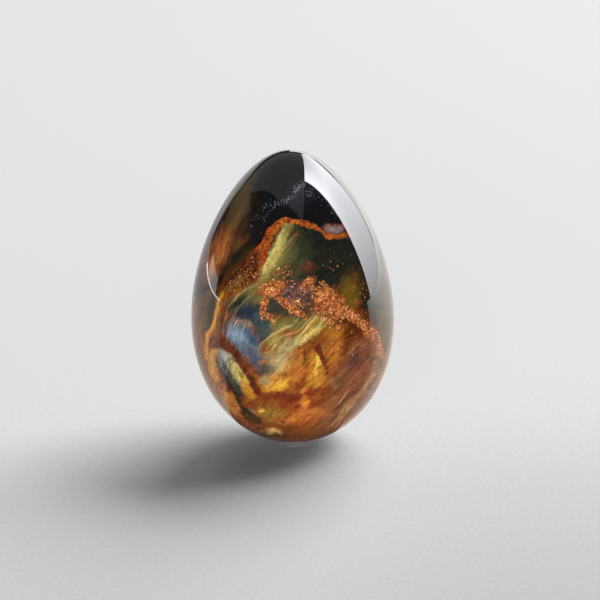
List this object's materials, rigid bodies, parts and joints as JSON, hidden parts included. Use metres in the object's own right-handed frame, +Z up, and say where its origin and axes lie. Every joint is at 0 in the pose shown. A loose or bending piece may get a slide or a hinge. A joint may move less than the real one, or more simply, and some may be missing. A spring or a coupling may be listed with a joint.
{
  "type": "decorative egg on stand",
  "caption": "Polished stone egg standing blunt end down on a low clear ring that keeps it from rolling; the egg turns on the ring.",
  "frame": {"origin": "on the egg's axis, in the plane of the ring's flat underside, which is the table top", "axes": "+Z up along the egg's axis towards its pointed end; -Y towards the side that the picture shows; +X to that side's right"},
  "size_m": [0.045, 0.045, 0.0671],
  "materials": {
    "stone": "mirror-polished swirling stone in black, rust, gold and steel blue with copper flecks",
    "clear_ring": "clear silicone"
  },
  "bodies": {
    "stand": {"stand_ring": "clear_ring"},
    "egg": {"stone_egg": "stone"}
  },
  "joints": [
    {"name": "egg_turn", "type": "hinge", "parent": "stand", "child": "egg", "pos_m": [0, 0, 0.0009], "axis": [0, 0, 1], "continuous": true}
  ]
}
